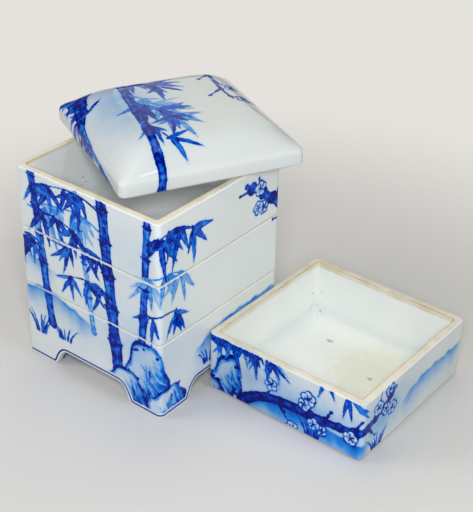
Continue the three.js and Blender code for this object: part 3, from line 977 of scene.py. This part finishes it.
def paint_loose(panel):
    """The tray beside the stack: a plum bough runs from a rock at the left along the wall and round the
    near corner, with bamboo leaves hanging in from above it."""
    haze(panel, (10, 24), (70, 20), depth=0.16)
    hill(panel, [(-44, 6), (-10, 30), (30, 16), (86, 14)], depth=0.5, fall=12)
    haze(panel, (110, 30), (40, 18), depth=0.12)
    hill(panel, [(130, 22), (160, 44), (190, 30), (224, 36)], depth=0.30, fall=9)
    leafy_twig(panel, "body", [(-76, 62), (-40, 62), (-10, 58)], knots=4, size=26, tone=0.42, seed=30)
    rock(panel, (-56, 8), (28, 30), tone=1.0, seed=31)
    plum_bough(panel, [(-40, 4), (-6, 40), (30, 8), (66, 30), (92, 26), (118, 48)], width=10.5, twigs=11,
               flowers=12, size=6.6, seed=32)
    for points, knots, size, tone, seed in (
        ([(-96, 56), (-74, 64), (-50, 58)], 4, 27, 0.95, 49),
        ([(-66, 60), (-42, 66), (-14, 58)], 4, 26, 0.92, 33),
        ([(30, 64), (48, 62), (62, 58)], 2, 22, 0.85, 34),
    ):
        leafy_twig(panel, "dark", points, knots, size, tone, seed)
    grass(panel, (30, 3), height=16, count=8, seed=35)
    grass(panel, (96, 3), height=15, count=7, seed=36)
    rock(panel, (300, 6), (30, 26), tone=0.9, seed=37)
    leafy_twig(panel, "dark", [(330, 66), (300, 64), (262, 58)], knots=4, size=25, tone=0.85, seed=38)
    leafy_twig(panel, "dark", [(470, 66), (440, 64), (412, 58)], knots=3, size=25, tone=0.85, seed=39)
    grass(panel, (450, 3), height=16, count=8, seed=40)


stacking_tray("middle_tray", "middle_tier", stack_porcelain, paint_stack, STACKED_RIM, wave=2.1)

UPPER_RIM = {"wiped": -0.3, "lip_depth": 2.0, "brink_width": 1.2, "carries": False}
upper_crumbs = (in_tray("upper_tier", WALL - HALF, -8.0, 13.0), metres(6.0, 9.0, 8.0))
upper_porcelain = painted_porcelain("upper_porcelain", **STACK_GLAZE, crumbs=upper_crumbs)
stacking_tray("upper_tray", "upper_tier", upper_porcelain, paint_stack, UPPER_RIM, wave=3.6)

LOOSE_RIM = {"wiped": -0.6, "lip_depth": 4.3, "brink_width": 0.7, "carries": False}
LOOSE_GLAZE = {"thin": linear(247, 249, 246), "pooled": linear(207, 219, 217), "speck_share": 0.035,
               "mirror": 0.1, "ripple_height": 0.10}
BLUE_SMUDGE = linear(178, 200, 238)
# A broad warm tint, a little darker, multiplied over part of the loose tray's floor.
WARM_FLOOR_TINT = linear(246, 243, 228)
floor_smudges = (
    (in_tray("loose_tier", -29.3, 35.4), metres(4.2, 2.6, 4.0), BLUE_SMUDGE),
    (in_tray("loose_tier", 27.3, 11.9), metres(3.2, 2.4, 4.0), BLUE_SMUDGE),
    (in_tray("loose_tier", 24.0, 18.0), metres(44.0, 56.0, 12.0), WARM_FLOOR_TINT),
)
corner_crumbs = (in_tray("loose_tier", -68.0, 68.0, 10.0), metres(16.0, 16.0, 22.0))
loose_porcelain = painted_porcelain("loose_porcelain", **LOOSE_GLAZE, smudges=floor_smudges,
                                    crumbs=corner_crumbs)
stacking_tray("loose_tray", "loose_tier", loose_porcelain, paint_loose, LOOSE_RIM, wave=5.2, chip_at=294.7)

# Lid: a domed square cover with an upright band round its edge and a flange under it that drops inside
# the top tray. Pressed porcelain, painted on the dome and glazed; here it lies askew on the tray's rim.
LID_TURN = np.radians(-27.1)
LID_HALF = 76.5
LID_CORNER_RADIUS = 5.6
LID_BAND = 13.9
LID_SHOULDER_ROUND = 4.2
LID_EDGE_ROUND = 1.5
LID_BOW = 1.0
LID_BOW_ACROSS = 0.2
LID_BOW_POWER = 6
DOME_RISE = 19.4
DOME_FLATNESS = 5.9
DOME_SHOULDER = 1.4
DOME_ROWS = 106
DOME_CROWDING = 1.6
DOME_REACH = 0.985
FLANGE_DEPTH = 5.0
FLANGE_WIDTH = 5.0
HOLLOW_FOOT = 6.0
HOLLOW_RISE = 21.3
HOLLOW_ROWS = 16
HOLLOW_START = 0.03
LID_FACE_POINTS = 141
FLANGE_WIPE = 0.7
LID_DEPTH = 0.4
SHOULDER_LESS = 0.3
SHOULDER_REACH = 4.0
NO_LOOP = 1000.0
# The lid's glaze is a greyer copy of the trays' porcelain: painted shade that tones down its well-lit dome.
SHADED_LID_GLAZE = {"thin": linear(227, 231, 229), "pooled": linear(197, 207, 207), "speck_share": 0.02,
             "mirror": 0.16, "ripple_height": 0.12}

lid_low, lid_high = box_mm("lid")
lid_edge = lid_low[2] + FLANGE_DEPTH
flange = HALF - WALL - NEST_CLEARANCE
hollow = flange - FLANGE_WIDTH
hollow_foot = lid_edge + HOLLOW_FOOT
lid_stations = square_stations(LID_FACE_POINTS, CORNER_POINTS)


def dome(scale, corner):
    """Rise of a dome, from 0 to 1, at a ring's scale: one minus a high power of the place across, times
    the same the other way, to the shoulder power: level in the middle, easing out at the rim."""
    ring_x, ring_y = square_rings(lid_stations, 1.0, corner)
    flat_x = 1 - np.abs(scale * ring_x) ** DOME_FLATNESS
    flat_y = 1 - np.abs(scale * ring_y) ** DOME_FLATNESS
    return np.clip(flat_x * flat_y, 0, 1) ** DOME_SHOULDER


def lid_rows():
    """Half-widths, corner radii and heights of the lid's rings: hollow under the dome, flange, lower edge,
    band and dome, which drops by a quarter circle into the band. Two sides bow in a little. Also the row
    where the band starts, and how far each ring lies below the foot of the dome, for the painter."""
    run, _, side = lid_stations
    bottom = lid_low[2]
    foot = lid_edge + LID_BAND
    hollow_scale = np.sin(np.linspace(HOLLOW_START, 1, HOLLOW_ROWS) * np.pi / 2)[:, None]
    below = np.concatenate([
        straight((hollow, hollow_foot), (hollow, bottom + SOFT_EDGE), 4),
        arc((hollow + SOFT_EDGE, bottom + SOFT_EDGE), SOFT_EDGE, 180, 270, 3),
        arc((flange - SOFT_EDGE, bottom + SOFT_EDGE), SOFT_EDGE, -90, 0, 3),
        arc((flange + SOFT_EDGE, lid_edge - SOFT_EDGE), SOFT_EDGE, 180, 90, 3),
        straight((flange + SOFT_EDGE, lid_edge), (LID_HALF - LID_EDGE_ROUND, lid_edge), 2),
    ])
    band = np.concatenate([
        arc((LID_HALF - LID_EDGE_ROUND, lid_edge + LID_EDGE_ROUND), LID_EDGE_ROUND, -90, 0, 6),
        straight((LID_HALF, lid_edge + LID_EDGE_ROUND), (LID_HALF, foot - LID_SHOULDER_ROUND), 8),
    ])
    scale = 1 - np.linspace(0, DOME_REACH, DOME_ROWS)[:, None] ** DOME_CROWDING
    inset = np.minimum(LID_HALF * (1 - scale), LID_SHOULDER_ROUND)
    drop = LID_SHOULDER_ROUND - np.sqrt(LID_SHOULDER_ROUND ** 2 - (LID_SHOULDER_ROUND - inset) ** 2)
    edges = np.concatenate([below, band])
    stepped = np.clip(edges[:, :1] - LID_HALF + LID_CORNER_RADIUS, INNER_CORNER_RADIUS, LID_CORNER_RADIUS)
    half = np.concatenate([hollow_scale * hollow, edges[:, :1], scale * LID_HALF])
    radius = np.concatenate([hollow_scale * INNER_CORNER_RADIUS, stepped, scale * LID_CORNER_RADIUS])
    height = np.concatenate([
        hollow_foot + HOLLOW_RISE * dome(hollow_scale, INNER_CORNER_RADIUS / hollow),
        edges[:, 1:] + 0 * run,
        foot - drop + DOME_RISE * dome(scale, LID_CORNER_RADIUS / LID_HALF),
    ])
    band_row = HOLLOW_ROWS + len(below)
    bowed = np.where(side % 2 == 0, 1.0, LID_BOW_ACROSS) * (half / LID_HALF) ** LID_BOW_POWER
    bow = LID_BOW * np.cos(np.pi / 2 * run) * bowed
    half = np.where(np.arange(len(half))[:, None] >= band_row, half - bow, half)
    folded = np.concatenate([np.zeros((band_row, 1)), foot - band[:, 1:], drop])
    return half, radius, height, band_row, folded


def paint_lid(panel):
    """Bamboo over the left half of the lid, two stems with leaves on both sides, and a plum sprig at the
    far side. Places are in millimetres from the middle of the dome."""
    haze(panel, (-20, -40), (60, 26), depth=0.12)
    culm(panel, (-92, -26), (92, -44), joints=6, width=9.0, tone=0.70, seed=41)
    culm(panel, (-92, -58), (60, -92), joints=5, width=7.0, tone=0.50, seed=42)
    for layer, points, knots, size, tone, seed, fall in (
        ("body", [(-30, -33), (-10, -14), (20, -12)], 4, 28, 0.32, 43, 40.0),
        ("dark", [(-58, -29), (-50, -12), (-34, -2)], 3, 29, 0.92, 44, 20.0),
        ("dark", [(-14, -34), (0, -18), (22, -12)], 3, 30, 0.92, 45, 10.0),
        ("dark", [(24, -38), (36, -32), (50, -28)], 2, 26, 0.85, 46, 30.0),
        ("dark", [(-20, -72), (-36, -64), (-50, -60)], 3, 27, 0.95, 47, 200.0),
        ("dark", [(-40, -70), (-24, -78), (-2, -82)], 3, 25, 0.9, 50, -60.0),
        ("dark", [(-76, -28), (-66, -42), (-62, -55)], 2, 26, 0.95, 51, -150.0),
    ):
        leafy_twig(panel, layer, points, knots, size, tone, seed, fall)
    plum_bough(panel, [(-84, 44), (-44, 52), (-24, 40), (6, 46)], width=4.5, twigs=5, flowers=4, size=5.6,
               seed=48)


half, radius, height, band_row, folded = lid_rows()
x, y = square_rings(lid_stations, half, radius)
row = np.arange(len(half))[:, None]
on_side = np.abs(x) >= np.abs(y)
lid_panel = blank_panel(x + np.sign(x) * folded * on_side, y + np.sign(y) * folded * ~on_side, NO_LOOP)
paint_lid(lid_panel)
shoulder_gap = np.hypot(half - LID_HALF, height - lid_edge - LID_BAND + LID_SHOULDER_ROUND)
fields = ink_fields(lid_panel, row >= band_row, np.inf)
fields["bare"] = np.where(row < band_row, lid_low[2] + FLANGE_WIPE - height, GLAZED)
fields["flash"] = FAR
fields["glaze_depth"] = LID_DEPTH - SHOULDER_LESS * np.exp(-shoulder_gap / SHOULDER_REACH)
fields["border"] = FAR
x, y = turned(x, y, LID_TURN)
lid_poles = (hollow_foot + HOLLOW_RISE, lid_high[2])
lid = porcelain_piece("domed_lid", (lid_low + lid_high) / 2, x, y, height, lid_poles, fields)
# Greyer lid glaze: painted shade over the whole lid.
lid.data.materials.append(painted_porcelain("lid_porcelain_shaded", **SHADED_LID_GLAZE))
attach(lid, "lid")
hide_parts("lid")

# Table, light and camera: a plain pale table top that fades into a pale wall and bounces less light than
# it shows, a soft light beside the camera, a window at the left, weaker lights all round, and the camera
# where the photograph was taken from. Places are in millimetres from the foot of the stack.
TABLE_REACH = 3.0
TABLE_FADE = (0.15, 0.55)
TABLE_ROUGHNESS = 0.7
TABLE_SEEN = linear(216, 215, 213)
TABLE_BOUNCE = linear(176, 176, 178)
WALL_SEEN = linear(229, 226, 221)
LAMPS_AIM = (30, 0, 90)
ROOM_COLOUR = (0.97, 0.99, 1.0, 1.0)
ROOM_STRENGTH = 0.15
EYE = (583.1, -639.5, 622.2)
AIM = (55.3, 43.9, 90.0)
ROLL = 1.37
LENS = 85.59
table_mesh = bpy.data.meshes.new("table_top")
table_mesh.from_pydata([(-TABLE_REACH, -TABLE_REACH, 0), (TABLE_REACH, -TABLE_REACH, 0),
                        (TABLE_REACH, TABLE_REACH, 0), (-TABLE_REACH, TABLE_REACH, 0)], [], [(0, 1, 2, 3)])
table = put_in("table_top", table_mesh)
table_finish = bpy.data.materials.new("pale_table")
table_finish.use_nodes = True
table_tree = table_finish.node_tree
table_shader = table_tree.nodes["Principled BSDF"]
feed(table_shader.inputs["Roughness"], TABLE_ROUGHNESS)
table_place = place(table_tree, "ShaderNodeTexCoord").outputs["Object"]
rays = place(table_tree, "ShaderNodeLightPath").outputs
mirrored = calc("MAXIMUM", rays["Is Glossy Ray"], rays["Is Transmission Ray"])
seen_ray = calc("MAXIMUM", rays["Is Camera Ray"], mirrored)
feed(table_shader.inputs["Base Color"], blend_colour(seen_ray, TABLE_BOUNCE, TABLE_SEEN))
faded = calc("MULTIPLY", ease(reckon("LENGTH", table_place)["Value"], *TABLE_FADE), seen_ray)
pale_wall = place(table_tree, "ShaderNodeEmission", {"Color": WALL_SEEN})
table_mix = place(table_tree, "ShaderNodeMixShader",
                  {0: faded, 1: table_shader.outputs[0], 2: pale_wall.outputs[0]})
feed(table_tree.nodes["Material Output"].inputs["Surface"], table_mix.outputs[0])
table_mesh.materials.append(table_finish)

stack_middle = Vector((base_centre[0], base_centre[1], 0))


def look(thing, eye, aim, roll=0.0):
    """Stand a camera or lamp at one point, in millimetres from the foot of the stack, facing another."""
    spot = (stack_middle + Vector(eye)) * MM
    heading = (stack_middle + Vector(aim)) * MM - spot
    facing = heading.to_track_quat("-Z", "Y").to_matrix().to_4x4()
    thing.matrix_world = Matrix.Translation(spot) @ facing @ Matrix.Rotation(np.radians(roll), 4, "Z")


for name, eye, side, watts, colour in (
    ("front_light", (600, -660, 690), 0.22, 6.4, (0.96, 0.97, 1.0)),
    ("window_light", (-800, -800, 700), 0.6, 5.3, (0.98, 0.95, 1.0)),
    ("room_light", (727, -35, 1290), 0.1, 1.5, (1.0, 0.99, 0.97)),
    ("wall_light", (-520, 900, 700), 0.8, 1.9, (1.0, 0.99, 0.97)),
    ("ceiling_light", (-200, 150, 1350), 0.6, 2.4, (1.0, 0.95, 0.7)),
    ("side_light", (1200, 100, 600), 0.6, 2.4, (1.0, 1.0, 0.97)),
):
    lamp_data = bpy.data.lights.new(name, "AREA")
    lamp_data.size = side
    lamp_data.energy = watts
    lamp_data.color = colour
    look(put_in(name, lamp_data), eye, LAMPS_AIM)
world = bpy.data.worlds.new("room")
bpy.context.scene.world = world
world.use_nodes = True
feed(world.node_tree.nodes["Background"].inputs["Color"], ROOM_COLOUR)
feed(world.node_tree.nodes["Background"].inputs["Strength"], ROOM_STRENGTH)

camera_data = bpy.data.cameras.new("photo_camera")
camera_data.lens = LENS
camera = put_in("photo_camera", camera_data)
look(camera, EYE, AIM, ROLL)
bpy.context.scene.camera = camera
bpy.context.scene.view_settings.view_transform = "Standard"
